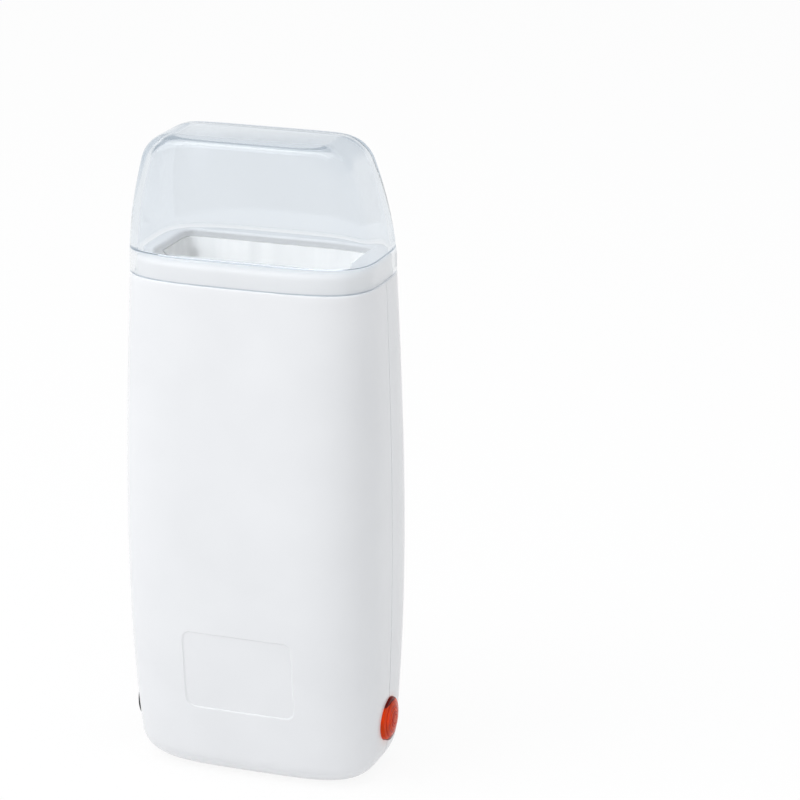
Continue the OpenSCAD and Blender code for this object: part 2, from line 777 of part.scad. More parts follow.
module lead(route, r, per_leg = 3, sides = 8) {
    count = (len(route) - 1) * per_leg;
    path = [for (i = [0:count]) spline(route, i / per_leg)];
    // The end faces stand square to the first and last leg
    dirs = [for (i = [0:count])
        i == 0 ? unit(route[1] - route[0])
        : i == count ? unit(route[len(route) - 1] - route[len(route) - 2])
        : unit(path[i + 1] - path[i - 1])];
    side = sides_along(dirs);
    loft([for (i = [0:count])
        let (u = side[i], v = cross(dirs[i], u))
        [for (j = [0:sides - 1]) path[i] + r * (cos(360 * j / sides) * u + sin(360 * j / sides) * v)]]);
}

fuse_z = tub_under - 0.1 - fuse_r;
tab_z = tub_under - 8.5;
pin_y = tub_back + film_t + ptc_t / 2;
pin_end = ptc_z - ptc_h / 2 - 4;

LINE_ROUTE = [
    [terminal_end, -5.3, service_z], [-4, -5.3, service_z], [3, -7.5, 23], [10, -11, 35], [15, -13.5, 47],
    [18, -14.5, 53], [fuse_x, -12.5, fuse_z], [fuse_x, -9, fuse_z]
];
FUSE_ROUTE = [
    [fuse_x, 9, fuse_z], [fuse_x, 12, fuse_z], [21, 15, 53], [26, 13.5, 50], [29.5, 6, tab_z],
    [tab_terminal + terminal_l + 3, 0, tab_z], [tab_terminal + terminal_l, 0, tab_z]
];
HEATER_ROUTE = [
    [-tab_terminal - terminal_l, 0, tab_z], [-tab_terminal - terminal_l - 3, 0, tab_z], [-28, 3, tab_z], [-27, 10, 51],
    [-20, 15.5, 54], [-11, 18, 58], [-6.5, 18.2, 66], [-6, pin_y, 76], [-6, pin_y, pin_end]
];
NEUTRAL_ROUTE = [
    [terminal_end, 5.3, service_z], [-4, 5.3, service_z], [1, 9, 24], [4, 14, 36], [6, 17.5, 48],
    [6.5, 18.2, 60], [6, pin_y, 70], [6, pin_y, 76], [6, pin_y, pin_end]
];
LAMP_LINE_ROUTE = [
    [11.5, -1.4, service_z], [8.5, -1.4, service_z], [4, -2.4, 15], [-1, -3.2, 15], [-5, -3.5, service_z],
    [terminal_end, -3.5, service_z]
];
LAMP_NEUTRAL_ROUTE = [
    [23.5, 1.4, service_z], [20.5, 1.4, service_z], [15, 3, 15], [7, 3.6, 13.5], [0, 3.5, 15],
    [-5, 3.5, service_z], [terminal_end, 3.5, service_z]
];

module line_lead() { color("#7a4a24") lead(LINE_ROUTE, lead_r); }
module fuse_lead() { color("#e9e6dc") lead(FUSE_ROUTE, lead_r); }
module heater_lead() { color("#e9e6dc") lead(HEATER_ROUTE, lead_r); }
module neutral_lead() { color("#2f5f9e") lead(NEUTRAL_ROUTE, lead_r); }
module lamp_line_lead() { color("#7a4a24") lead(LAMP_LINE_ROUTE, lamp_lead_r); }
module lamp_neutral_lead() { color("#2f5f9e") lead(LAMP_NEUTRAL_ROUTE, lamp_lead_r); }

// ---------------------------------------------------------------- lid

// Ring of the lid at height z, on a surface `deep` inside it
function lid_ring(z, deep) =
    let (
        top = lid_top - deep,
        u = max(0, (z - shoulder_z - lid_skirt) / (top - shoulder_z - lid_skirt)),
        a = shoulder_w / 2 + (lid_top_w - shoulder_w) / 2 * u + 4 * lid_belly * u * (1 - u) - deep
            - drawn_in(lid_round_side - deep / 2, top - z),
        f = shoulder_d / 2 + (lid_top_front - shoulder_d / 2) * u - deep
            - drawn_in(lid_round_front - deep / 2, top - z),
        b = shoulder_d / 2 + (lid_top_back - shoulder_d / 2) * u - deep
            - drawn_in(lid_round_back - deep / 2, top - z)
    )
    [for (p = oval_points(a, (f + b) / 2, body_full + (lid_full - body_full) * pow(u, 1.1)))
        [p[0], p[1] + (b - f) / 2, z]];

// Heights of the lid's rings: even up the walls, then close round the top edge
function lid_heights(low, top) =
    let (turn = top - 7.5)
    concat(
        [low, shoulder_z + lid_skirt],
        [for (i = [1:5]) shoulder_z + lid_skirt + (turn - shoulder_z - lid_skirt) * i / 5],
        [for (q = [18:12:90]) turn + 7.5 * sin(q)]
    );

module lid() {
    step_z = rim_z + 0.6;
    inner_top = lid_top - lid_wall;
    skirt_t = neck_in - 0.4;
    color(CLEAR) difference() {
        loft([for (z = lid_heights(shoulder_z + 0.1, lid_top)) lid_ring(z, 0)]);
        // Inside: a thinner skirt that slips over the neck, a ledge, then the full wall
        loft(concat(
            [for (z = [shoulder_z - 1, shoulder_z + lid_skirt, step_z]) lid_ring(z, skirt_t)],
            [for (z = lid_heights(shoulder_z, inner_top)) if (z > step_z) lid_ring(max(z, step_z), lid_wall)]
        ));
    }
}

front_shell();
rear_shell();
case_screws();
mouth_collar();
lid();
heating_tub();
ptc_heater();
heater_film();
clamp_strap();
stud_nuts();
thermostat_cap();
thermostat_body();
thermostat_tabs();
thermal_fuse();
fuse_clip();
lamp_lens();
lens_washer();
neon_lamp();
lamp_resistor();
inlet_body();
inlet_pins();
spade_terminals();
line_lead();
fuse_lead();
heater_lead();
neutral_lead();
lamp_line_lead();
lamp_neutral_lead();
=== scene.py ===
"""Heater for roll-on wax cartridges: its looks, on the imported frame.

Sizes are in millimetres, and solid() turns them into metres. Depths in materials are in metres.
"""

import math

import bmesh
import bpy
import numpy as np
from mathutils import Matrix, Vector


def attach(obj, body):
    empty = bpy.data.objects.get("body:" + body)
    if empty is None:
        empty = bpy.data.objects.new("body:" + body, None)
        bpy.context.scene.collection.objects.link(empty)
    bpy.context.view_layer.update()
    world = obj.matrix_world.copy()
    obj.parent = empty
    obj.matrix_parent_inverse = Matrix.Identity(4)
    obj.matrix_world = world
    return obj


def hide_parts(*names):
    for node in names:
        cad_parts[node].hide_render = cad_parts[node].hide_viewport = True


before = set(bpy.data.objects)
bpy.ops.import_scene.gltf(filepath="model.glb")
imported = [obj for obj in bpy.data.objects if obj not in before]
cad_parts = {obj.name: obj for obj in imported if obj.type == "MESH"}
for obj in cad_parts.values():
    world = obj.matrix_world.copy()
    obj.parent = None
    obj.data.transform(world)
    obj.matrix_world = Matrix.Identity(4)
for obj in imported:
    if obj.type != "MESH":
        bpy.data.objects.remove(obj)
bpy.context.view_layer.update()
MM = 0.001

# ---------------------------------------------------------------- camera

PITCH, TURN, ROLL = math.radians(18.189), math.radians(19.075), math.radians(0.105)
CAMERA_AT = (331.53, -829.66, 414.41)
FOCAL, SENSOR = 135.0, 36.0


def place_camera():
    """A camera that looks down by PITCH, from a place turned by TURN to the right of the front."""
    plumb = Vector((0, 0, 1))
    right = Vector((math.cos(TURN), math.sin(TURN), 0))
    level = Vector((-math.sin(TURN), math.cos(TURN), 0))
    ahead = math.cos(PITCH) * level - math.sin(PITCH) * plumb
    up = math.sin(PITCH) * level + math.cos(PITCH) * plumb
    data = bpy.data.cameras.new("camera")
    data.lens, data.sensor_width = FOCAL, SENSOR
    data.clip_start, data.clip_end = 0.05, 20.0
    camera = bpy.data.objects.new("camera", data)
    bpy.context.scene.collection.objects.link(camera)
    axes = Matrix((right, up, -ahead)).transposed().to_4x4()
    camera.matrix_world = Matrix.Translation(Vector(CAMERA_AT) * MM) @ axes @ Matrix.Rotation(ROLL, 4, "Z")
    bpy.context.scene.camera = camera


place_camera()

# ---------------------------------------------------------------- outline rules, as in the CAD

SHOULDER, NECK, WALL = 163.5, 7.1, 2.2
RIM = SHOULDER + NECK
# At the foot, a third of the way up, two thirds of the way up and at the shoulder
WIDTHS, DEPTHS = (79.6, 84.0, 83.7, 80.5), (40.6, 55.9, 55.5, 48.9)
# Radius of the foot's edge at the sides, and at the front and back
FOOT_W, FOOT_D = 10.3, 8.0
# Fullness of the corners in plan, of the body and of the lid's top: 2 is an ellipse
FULL, LID_FULL = 3.7, 7.0
# Radius of the lens, and height of the lamp and the inlet
LENS_R, SERVICE = 7.1, 18.6

LID_TOP, SKIRT = SHOULDER + 43.9, 5.0
# Half width and half depth of the lid's skirt
SKIRT_A, SKIRT_B = 40.25, 24.45
# Half width of the lid's top, and how far it reaches to the front and to the back
TOP_A, TOP_FRONT, TOP_BACK = 32.4, 16.2, 8.4
# How far the lid's side walls belly out, and the radii of its top edge
BELLY = 1.1
SIDE_R, FRONT_R, BACK_R = 7.5, 2.6, 2.8


def through4(v, t):
    """Smooth curve through four evenly spaced values; t runs from 0 to 1."""
    a, b, c = t - 1 / 3, t - 2 / 3, t - 1
    return (-v[0] * a * b * c + 3 * v[1] * t * b * c - 3 * v[2] * t * a * c + v[3] * t * a * b) * 4.5


def drawn_in(r, k):
    """How far an edge of radius r is drawn in at a height k from the flat it rounds into."""
    return 0.0 if k >= r else r - math.sqrt(max(0.0, r * r - (r - k) ** 2))


def body_a(z, deep=0.0):
    """Half width of the body at height z, on a surface `deep` inside the skin."""
    return through4(WIDTHS, z / SHOULDER) / 2 - deep - drawn_in(FOOT_W - deep, z - deep)


def body_b(z, deep=0.0):
    """Half depth of the body, likewise."""
    return through4(DEPTHS, z / SHOULDER) / 2 - deep - drawn_in(FOOT_D - deep, z - deep)


def skin_y(x, z, deep):
    """Distance from the seam to the front or back skin at x, z."""
    return body_b(z, deep) * (1 - (abs(x) / body_a(z, deep)) ** FULL) ** (1 / FULL)


def quarter(n, k=1.85):
    """Angles of a quarter turn that space an oval's points evenly."""
    s = np.linspace(0, 1, n + 1)
    return 90 * s**k / (s**k + (1 - s) ** k)


def ring_angles(n):
    q = quarter(n)[:-1]
    return np.concatenate([q, q + 90, q + 180, q + 270])


def oval(a, b, q, full=FULL):
    c, s = np.cos(np.radians(q)), np.sin(np.radians(q))
    return a * np.sign(c) * np.abs(c) ** (2 / full), b * np.sign(s) * np.abs(s) ** (2 / full)


def oval_outline(a, b, q):
    return np.stack(oval(a, b, q), 1)


def lid_ring(z, deep, q):
    """Ring of the lid at height z, on a surface `deep` inside it."""
    top = LID_TOP - deep
    u = max(0.0, (z - SHOULDER - SKIRT) / (top - SHOULDER - SKIRT))
    a = SKIRT_A + (TOP_A - SKIRT_A) * u + 4 * BELLY * u * (1 - u) - deep - drawn_in(SIDE_R - deep / 2, top - z)
    f = SKIRT_B + (TOP_FRONT - SKIRT_B) * u - deep - drawn_in(FRONT_R - deep / 2, top - z)
    b = SKIRT_B + (TOP_BACK - SKIRT_B) * u - deep - drawn_in(BACK_R - deep / 2, top - z)
    x, y = oval(a, (f + b) / 2, q, FULL + (LID_FULL - FULL) * u**1.1)
    return np.stack([x, y + (b - f) / 2, np.full_like(x, z)], 1)


# ---------------------------------------------------------------- mesh helpers


def solid(name, points, faces):
    mesh = bpy.data.meshes.new(name)
    mesh.from_pydata([tuple(float(c) * MM for c in p) for p in points], [], faces)
    mesh.validate()
    mesh.update()
    obj = bpy.data.objects.new(name, mesh)
    bpy.context.scene.collection.objects.link(obj)
    return obj


def stack(name, rings):
    """A closed solid through rings of equal length, from the bottom up."""
    n, last = len(rings[0]), len(rings[0]) * (len(rings) - 1)
    faces = [(i + j, i + (j + 1) % n, i + n + (j + 1) % n, i + n + j) for i in range(0, last, n) for j in range(n)]
    faces += [tuple(range(n - 1, -1, -1)), tuple(range(last, last + n))]
    return solid(name, np.concatenate(rings), faces)


def prism(name, outline, low, high, axis="Z"):
    """An outline pushed along an axis. The outline runs anticlockwise seen from that axis's end."""
    o = np.asarray(outline, float)
    order = {"Z": (0, 1, 2), "X": (2, 0, 1), "Y": (1, 2, 0)}[axis]
    return stack(name, [np.column_stack([o, np.full(len(o), h)])[:, order] for h in (low, high)])


def rounded(w, d, r, n=12):
    pts = []
    for cx, cy, start in ((1, 1, 0), (-1, 1, 90), (-1, -1, 180), (1, -1, 270)):
        for q in np.linspace(start, start + 90, n + 1):
            t = math.radians(q)
            pts.append((cx * (w / 2 - r) + r * math.cos(t), cy * (d / 2 - r) + r * math.sin(t)))
    return pts


def circle(r, n, cx, cy):
    return [(cx + r * math.cos(2 * math.pi * i / n), cy + r * math.sin(2 * math.pi * i / n)) for i in range(n)]


def stadium(w, h, cy, n=40):
    pts = []
    for side, start in ((1, -90), (-1, 90)):
        for q in np.linspace(start, start + 180, n):
            t = math.radians(q)
            pts.append((side * (w - h) / 2 + h / 2 * math.cos(t), h / 2 * math.sin(t) + cy))
    return pts


def plate(outline, low, high, s=1):
    """A plate across Z, on the +X side or mirrored to the -X side."""
    return prism("plate", outline if s > 0 else [(-x, y) for x, y in outline][::-1], low, high)


def box(x0, x1, y0, y1, z0, z1, s=1):
    return plate([(x0, y0), (x1, y0), (x1, y1), (x0, y1)], z0, z1, s)


def combine(target, other, how):
    m = target.modifiers.new("b", "BOOLEAN")
    m.operation, m.object, m.solver = how, other, "MANIFOLD"
    dg = bpy.context.evaluated_depsgraph_get()
    made = bpy.data.meshes.new_from_object(target.evaluated_get(dg))
    target.modifiers.clear()
    old, target.data = target.data, made
    bpy.data.meshes.remove(old)
    bpy.data.objects.remove(other)
    return target


def cut(target, other):
    return combine(target, other, "DIFFERENCE")


def add(target, other):
    return combine(target, other, "UNION")


def smooth(obj, angle=32):
    obj.data.shade_smooth()
    obj.data.set_sharp_from_angle(angle=math.radians(angle))
    return obj


def weld(obj, dist):
    """Joins points within a distance in metres, and clears what that leaves without an area."""
    bm = bmesh.new()
    bm.from_mesh(obj.data)
    bmesh.ops.remove_doubles(bm, verts=bm.verts, dist=dist)
    bmesh.ops.dissolve_degenerate(bm, edges=bm.edges, dist=dist)
    bmesh.ops.delete(bm, geom=[e for e in bm.edges if not e.link_faces], context="EDGES")
    bmesh.ops.recalc_face_normals(bm, faces=bm.faces)
    bm.to_mesh(obj.data)
    bm.free()


def lathe_x(name, profile, z, n):
    """A profile of (radius, x) turned about the X axis at height z. It closes on itself."""
    p = np.asarray(profile, float)
    m = len(p)
    rings = []
    for i in range(n):
        t = 2 * math.pi * i / n
        rings.append(np.stack([p[:, 1], p[:, 0] * math.cos(t), z + p[:, 0] * math.sin(t)], 1))
    faces = []
    for i in range(n):
        here, there = i * m, (i + 1) % n * m
        faces += [(here + j, here + (j + 1) % m, there + (j + 1) % m, there + j) for j in range(m)]
    obj = solid(name, np.concatenate(rings), faces)
    weld(obj, 1e-7)
    return obj


def bend(end, n):
    """Angles in radians, from none to an end in degrees."""
    return np.radians(np.linspace(0, end, n))


# ---------------------------------------------------------------- materials


class Tree:
    """A node tree, with the nodes that the materials and the sky need."""

    def __init__(self, tree, out):
        self.tree = tree
        self.out = tree.nodes[out]

    def node(self, kind, **values):
        n = self.tree.nodes.new(kind)
        for k, v in values.items():
            setattr(n, k, v)
        return n

    def link(self, a, b):
        self.tree.links.new(a, b)

    def operate(self, kind, operation, *terms):
        """A Math or VectorMath node on sockets and plain values."""
        n = self.node(kind, operation=operation)
        for place, term in zip(n.inputs, terms):
            if isinstance(term, bpy.types.NodeSocket):
                self.link(term, place)
            else:
                place.default_value = term
        return n

    def maths(self, operation, *terms):
        return self.operate("ShaderNodeMath", operation, *terms).outputs[0]

    def vector(self, operation, *terms):
        return self.operate("ShaderNodeVectorMath", operation, *terms).outputs["Vector"]

    def length(self, value):
        return self.operate("ShaderNodeVectorMath", "LENGTH", value).outputs["Value"]

    def span(self, value, low, high, start=0.3, end=0.7):
        n = self.node("ShaderNodeMapRange")
        for k, v in zip(("From Min", "From Max", "To Min", "To Max"), (start, end, low, high)):
            n.inputs[k].default_value = v
        self.link(value, n.inputs["Value"])
        return n.outputs["Result"]

    def ramp(self, value, stops):
        """A colour for a value, through two or more stops of (place, colour)."""
        n = self.node("ShaderNodeValToRGB")
        elements = n.color_ramp.elements
        elements[0].position, elements[1].position = stops[0][0], stops[-1][0]
        for place, _ in stops[1:-1]:
            elements.new(place)
        for element, (_, tone) in zip(elements, stops):
            element.color = (*tone, 1)
        self.link(value, n.inputs["Fac"])
        return n.outputs["Color"]

    def surface(self, share, one, two):
        """Shows the first shader, and the second by a share."""
        mix = self.node("ShaderNodeMixShader")
        for place, value in zip(mix.inputs, (share, one, two)):
            self.link(value, place)
        self.link(mix.outputs["Shader"], self.out.inputs["Surface"])

    def seen(self):
        """1 for what is seen straight, in gloss or through glass; 0 for the light that falls on things."""
        path = self.node("ShaderNodeLightPath")
        straight = self.maths("MAXIMUM", path.outputs["Is Camera Ray"], path.outputs["Is Glossy Ray"])
        return self.maths("MAXIMUM", straight, path.outputs["Is Transmission Ray"])


class Look(Tree):
    """A material of one Principled shader."""

    def __init__(self, name):
        self.mat = bpy.data.materials.new(name)
        self.mat.use_nodes = True
        super().__init__(self.mat.node_tree, "Material Output")
        self.shader = self.tree.nodes["Principled BSDF"]
        self.place = self.node("ShaderNodeTexCoord").outputs["Object"]

    def set(self, **values):
        for k, v in values.items():
            self.shader.inputs[k.replace("_", " ")].default_value = v
        return self

    def noise(self, scale, detail=3.0, stretch=None):
        n = self.node("ShaderNodeTexNoise")
        n.inputs["Scale"].default_value, n.inputs["Detail"].default_value = scale, detail
        source = self.place
        if stretch:
            m = self.node("ShaderNodeMapping")
            m.inputs["Scale"].default_value = stretch
            self.link(source, m.inputs["Vector"])
            source = m.outputs["Vector"]
        self.link(source, n.inputs["Vector"])
        return n.outputs["Fac"]

    def colour(self, value, stops):
        self.link(self.ramp(value, stops), self.shader.inputs["Base Color"])
        return self

    def grained(self, value, one, two):
        """Colour between two tones."""
        return self.colour(value, ((0.3, one), (0.7, two)))

    def rough(self, value, low, high):
        self.link(self.span(value, low, high), self.shader.inputs["Roughness"])
        return self

    def bump(self, height, depth):
        n = self.node("ShaderNodeBump")
        n.inputs["Distance"].default_value, n.inputs["Strength"].default_value = depth, 1.0
        self.link(height, n.inputs["Height"])
        self.link(n.outputs["Normal"], self.shader.inputs["Normal"])
        return self

    def let_light_in(self, tint):
        """Lamps and soft light pass, and so does light that is caught in the wall."""
        path = self.node("ShaderNodeLightPath")
        soft = self.maths("MAXIMUM", path.outputs["Is Shadow Ray"], path.outputs["Is Diffuse Ray"])
        caught = self.maths("GREATER_THAN", path.outputs["Glossy Depth"], 1.5)
        clear = self.node("ShaderNodeBsdfTransparent")
        clear.inputs["Color"].default_value = (*tint, 1)
        self.surface(self.maths("MAXIMUM", soft, caught), self.shader.outputs["BSDF"], clear.outputs["BSDF"])
        return self


def moulded(name, one, two, rough, grain=900.0, depth=4e-6):
    m = Look(name)
    m.grained(m.noise(35, 2), one, two).rough(m.noise(60, 4), *rough)
    return m.bump(m.noise(grain, 3), depth).set(IOR=1.5)


def metal(name, one, two, rough, grain=500.0, stretch=None, share=1.0):
    m = Look(name)
    m.grained(m.noise(grain / 6, 3, stretch), one, two).rough(m.noise(grain / 3, 4, stretch), *rough)
    return m.bump(m.noise(grain, 4, stretch), 6e-6).set(Metallic=share)


def clear_moulding():
    """Clearest round the neck, a little cooler in the thicker wall above it, and with painted shade along its bottom
    edge for the dark line that refraction draws there.
    """
    m = Look("clear_moulding")
    level = m.node("ShaderNodeSeparateXYZ")
    m.link(m.place, level.inputs["Vector"])
    height = m.span(level.outputs["Z"], 0.1, 0.85, (SHOULDER - 2) * MM, (SHOULDER + 10) * MM)
    shade = m.maths("ADD", height, m.span(m.noise(30, 2), -0.006, 0.006))
    # edge is painted shade: a dark blue-grey band at the lid's foot, standing in for the dark line that refraction
    # draws there
    edge, thin, thick = (0.45, 0.52, 0.60), (0.995, 0.996, 0.997), (0.935, 0.953, 0.97)
    m.colour(shade, ((0.235, edge), (0.265, thin), (0.62, thin), (0.70, thick)))
    m.rough(m.noise(50, 3), 0.015, 0.035).bump(m.noise(40, 1), 1e-5)
    m.set(IOR=1.49, Transmission_Weight=1.0).let_light_in((1.0, 1.0, 1.0))
    # The plastic's own cool tint, deeper where the light runs further through it
    tint = m.node("ShaderNodeVolumeAbsorption")
    tint.inputs["Color"].default_value, tint.inputs["Density"].default_value = (0.44, 0.55, 0.65, 1), 42.0
    m.link(tint.outputs["Volume"], m.out.inputs["Volume"])
    return m


def lens_moulding():
    """Deeper red in the rings, and painted shade above and below the dome, over the barrel's wall, for the dark
    crescents that refraction makes there.
    """
    m = Look("lens_moulding")
    apart = m.vector("SUBTRACT", m.place, (0, 0, SERVICE * MM))
    reach = m.length(m.vector("MULTIPLY", apart, (0, 1, 1)))
    tall = m.length(m.vector("MULTIPLY", apart, (0, 0, 1)))
    # Painted shade: deep marks the dome's edge above and below, and the last, darkest tone fills it as dark crescents
    deep = m.maths("MULTIPLY", m.span(reach, 0, 1, 0.0054, 0.0059), m.span(tall, 0, 0.2, 0.0053, 0.0057))
    shade = m.maths("ADD", m.span(reach, 0, 0.8, 0, LENS_R * MM), deep)
    amber, ringed, painted_shade_red = (0.95, 0.075, 0.001), (0.58, 0.022, 0.002), (0.18, 0.006, 0.004)
    # Radii where the tone changes, in millimetres
    tones = ((0.0, amber), (1.1, amber), (1.5, ringed), (1.9, amber), (2.3, ringed), (2.8, amber), (3.8, amber),
             (4.2, ringed), (4.7, amber), (5.4, amber), (5.7, ringed), (6.0, amber), (LENS_R, amber))
    m.colour(shade, [(0.8 * r / LENS_R, tone) for r, tone in tones] + [(0.87, painted_shade_red)])
    m.rough(m.noise(200, 2), 0.04, 0.09).bump(m.noise(300, 1), 1e-5)
    return m.set(IOR=1.3, Transmission_Weight=0.45, Specular_IOR_Level=0.06).let_light_in((0.97, 0.42, 0.1))


def lamp_glass():
    m = Look("lamp_glass")
    m.grained(m.noise(200, 2), (0.93, 0.86, 0.80), (0.97, 0.92, 0.88)).rough(m.noise(200, 2), 0.03, 0.08)
    return m.set(IOR=1.5, Transmission_Weight=0.9).let_light_in((0.9, 0.85, 0.8))


M = {
    "white": moulded("white_moulding", (0.80, 0.81, 0.83), (0.83, 0.84, 0.86), (0.2, 0.26)),
    # A lighter copy of the white moulding: painted light, making up for light the collar loses under the lid
    "collar": moulded("collar_moulding_painted_lighter", (0.83, 0.835, 0.845), (0.86, 0.865, 0.875), (0.2, 0.26)),
    "clear": clear_moulding(),
    # Drawn upright. Mostly pale colour rather than mirror: a painted sheen standing in for the bright surroundings
    # the metal mirrors, since little to mirror reaches down the narrow mouth
    "tub": metal("drawn_aluminium_painted_sheen", (0.88, 0.88, 0.875), (0.975, 0.97, 0.96), (0.34, 0.48), 1500.0,
                 stretch=(1, 1, 0.05), share=0.12),
    "bright": metal("plated_steel", (0.60, 0.60, 0.61), (0.70, 0.70, 0.71), (0.2, 0.35)),
    "pressed": metal("pressed_aluminium", (0.70, 0.71, 0.72), (0.80, 0.80, 0.81), (0.3, 0.45)),
    "brass": metal("brass", (0.70, 0.50, 0.20), (0.80, 0.60, 0.28), (0.25, 0.4)),
    "dark": moulded("phenolic", (0.035, 0.03, 0.028), (0.06, 0.052, 0.05), (0.4, 0.55), 1500, 1.2e-5),
    "black": moulded("black_moulding", (0.012, 0.012, 0.016), (0.02, 0.02, 0.026), (0.32, 0.45), 1600, 1.5e-5),
    "film": moulded("amber_film", (0.50, 0.20, 0.03), (0.62, 0.28, 0.05), (0.15, 0.3), 400, 1e-5),
    "red": moulded("red_sleeve", (0.50, 0.03, 0.02), (0.58, 0.05, 0.03), (0.35, 0.5), 900, 1e-5),
    "brown": moulded("brown_insulation", (0.16, 0.07, 0.03), (0.20, 0.09, 0.04), (0.4, 0.55), 1200, 8e-6),
    "blue": moulded("blue_insulation", (0.03, 0.11, 0.35), (0.05, 0.15, 0.42), (0.4, 0.55), 1200, 8e-6),
    "sleeve": moulded("glass_sleeve", (0.66, 0.64, 0.58), (0.78, 0.76, 0.70), (0.6, 0.8), 2500, 6e-5),
    "tan": moulded("lacquer", (0.50, 0.34, 0.17), (0.58, 0.40, 0.22), (0.3, 0.45), 900, 1e-5),
    "lens": lens_moulding(),
    "glass": lamp_glass(),
}


def dress(obj, key):
    obj.data.materials.clear()
    obj.data.materials.append(M[key].mat)
    return obj


# ---------------------------------------------------------------- housing

# The label recess: half width, half height, height of its middle, corner radius, depth, width of its step
LABEL_W, LABEL_H, LABEL_Z, LABEL_R, LABEL_DEEP, LABEL_STEP = 18.3, 13.25, 38.15, 3.0, 0.34, 0.42
LIP_R = 0.5  # radius of the shoulder's outer edge
TUB_W, TUB_D, TUB_R, TUB_FIT = 64.0, 30.6, 5.0, 0.15
RIB_ZS, RIB_T = (66.0, 120.0, 155.25), 1.6
HOOK_ZS = (85.0, 135.0)
WEB_X, WEB_T = -32.8, 1.5
SCREW_X, SCREW_Z = 24, 38
PILOT_R, CLEAR_R, WELL_R, WELL_Y = 1.52, 1.7, 3.3, 12
BARREL_R, LENS_SEAT = 6.05, 40.2
INLET_W, INLET_H = 26.3, 15.9
GROOVE_LOW, GROOVE_HIGH, GROOVE_DEEP = SHOULDER - 4.1, SHOULDER - 2.3, WALL - 1.1


def label_depth(x, z):
    px, pz = np.abs(x) - (LABEL_W - LABEL_R), np.abs(z - LABEL_Z) - (LABEL_H - LABEL_R)
    d = np.hypot(np.maximum(px, 0), np.maximum(pz, 0)) + np.minimum(np.maximum(px, pz), 0) - LABEL_R
    s = np.clip(0.5 - d / LABEL_STEP, 0, 1)
    return LABEL_DEEP * s * s * (3 - 2 * s)


def seam_gap(z):
    """How far a shell's outer edge is drawn back at the seam: the groove is wider low down."""
    return 0.42 + 0.5 * np.clip((50 - z) / 30, 0, 1)


def steps(start, *legs):
    """Values after a start, over legs of (end, count) whose counts take in both ends."""
    values = []
    for end, n in legs:
        values += list(np.linspace(start, end, n)[1:])
        start = end
    return values


def column_angles():
    """Angles of the front's columns: fine where the label recess ends, and by the seam."""
    xs = np.array([0.0] + steps(0, (16, 15), (20.4, 23), (33, 12))[:-1]) / (WIDTHS[1] / 2)
    q = np.degrees(np.arccos(xs ** (FULL / 2)))  # 90 down to about 50
    tail = q[-1] * np.linspace(1, 0, 34)[1:-1] ** 1.7
    return np.concatenate([q, tail, [0.012]])


def half_shell(name, front):
    """One shell's wall, from the seam's +X side round to its -X side, before its fittings."""
    columns = column_angles()
    q = np.concatenate([-columns[::-1], -180 + columns[1:]])
    # Rows are close together in the foot's edge and along the label recess's lower and upper steps
    rows = list(FOOT_W * (1 - np.cos(bend(90, 25))))
    rows += steps(FOOT_W, (24, 10), (26.6, 13), (49.8, 14), (52.4, 13), (SHOULDER - LIP_R, 66))
    inner_rows = [WALL + (FOOT_W - WALL) * (1 - math.cos(t)) for t in bend(90, 13)] + steps(FOOT_W, (SHOULDER, 24))

    def skin(z, deep=0.0, inset=0.0):
        x, y = oval(body_a(z, deep) - inset, body_b(z, deep) - inset, q)
        if front and deep == 0:
            y = y + label_depth(x, z)
        edge = body_a(z, deep) - inset - (seam_gap(z) if deep == 0 else 0)
        x = np.concatenate([[edge], x, [-edge]])
        y = np.concatenate([[0.0], y, [0.0]])
        return np.stack([x, y, np.full_like(x, z)], 1)

    outer = [skin(z) for z in rows]
    for t in np.radians((30, 60, 90)):
        outer.append(skin(SHOULDER - LIP_R + LIP_R * math.sin(t), inset=LIP_R * (1 - math.cos(t))))
    inner = [skin(z, WALL) for z in inner_rows]
    inner[-1][:, 2] = SHOULDER
    n, no, ni = len(outer[0]), len(outer), len(inner)
    points = np.concatenate(outer + inner)
    base = no * n
    top_o, top_i = base - n, base + (ni - 1) * n
    faces = [(a + 1, a, a + n, a + n + 1) for i in range(0, top_o, n) for a in range(i, i + n - 1)]
    faces += [(a, a + 1, a + n + 1, a + n) for i in range(base, top_i, n) for a in range(i, i + n - 1)]
    # Floor, inner floor, top edge, and the face along the seam
    faces.append(tuple(range(n)))
    faces.append(tuple(range(base + n - 1, base - 1, -1)))
    faces.append(tuple(range(top_o + n - 1, top_o - 1, -1)) + tuple(range(top_i, top_i + n)))
    seam = [i * n for i in range(no - 1, -1, -1)] + [i * n + n - 1 for i in range(no)]
    seam += [base + i * n + n - 1 for i in range(ni - 1, -1, -1)] + [base + i * n for i in range(ni)]
    faces.append(tuple(seam))
    if not front:
        points[:, 1] *= -1
        faces = [f[::-1] for f in faces]
    obj = solid(name, points, faces)
    weld(obj, 1e-8)
    return obj


def seam_frame(outer, inner, low, high):
    """A band that follows the seam between two depths under the skin, open at the top."""
    made = []
    for deep, top, extra in ((outer, 150, 0.0), (inner, 151, 1.0)):
        zs = [deep + (FOOT_W - deep) * (1 - math.cos(t)) for t in bend(90, 13)] + steps(FOOT_W, (top, 13))
        side = [(z, body_a(z, deep)) for z in zs]
        made.append(prism("band", [(z, -x) for z, x in side] + side[::-1], low - extra, high + extra, "Y"))
    return cut(*made)


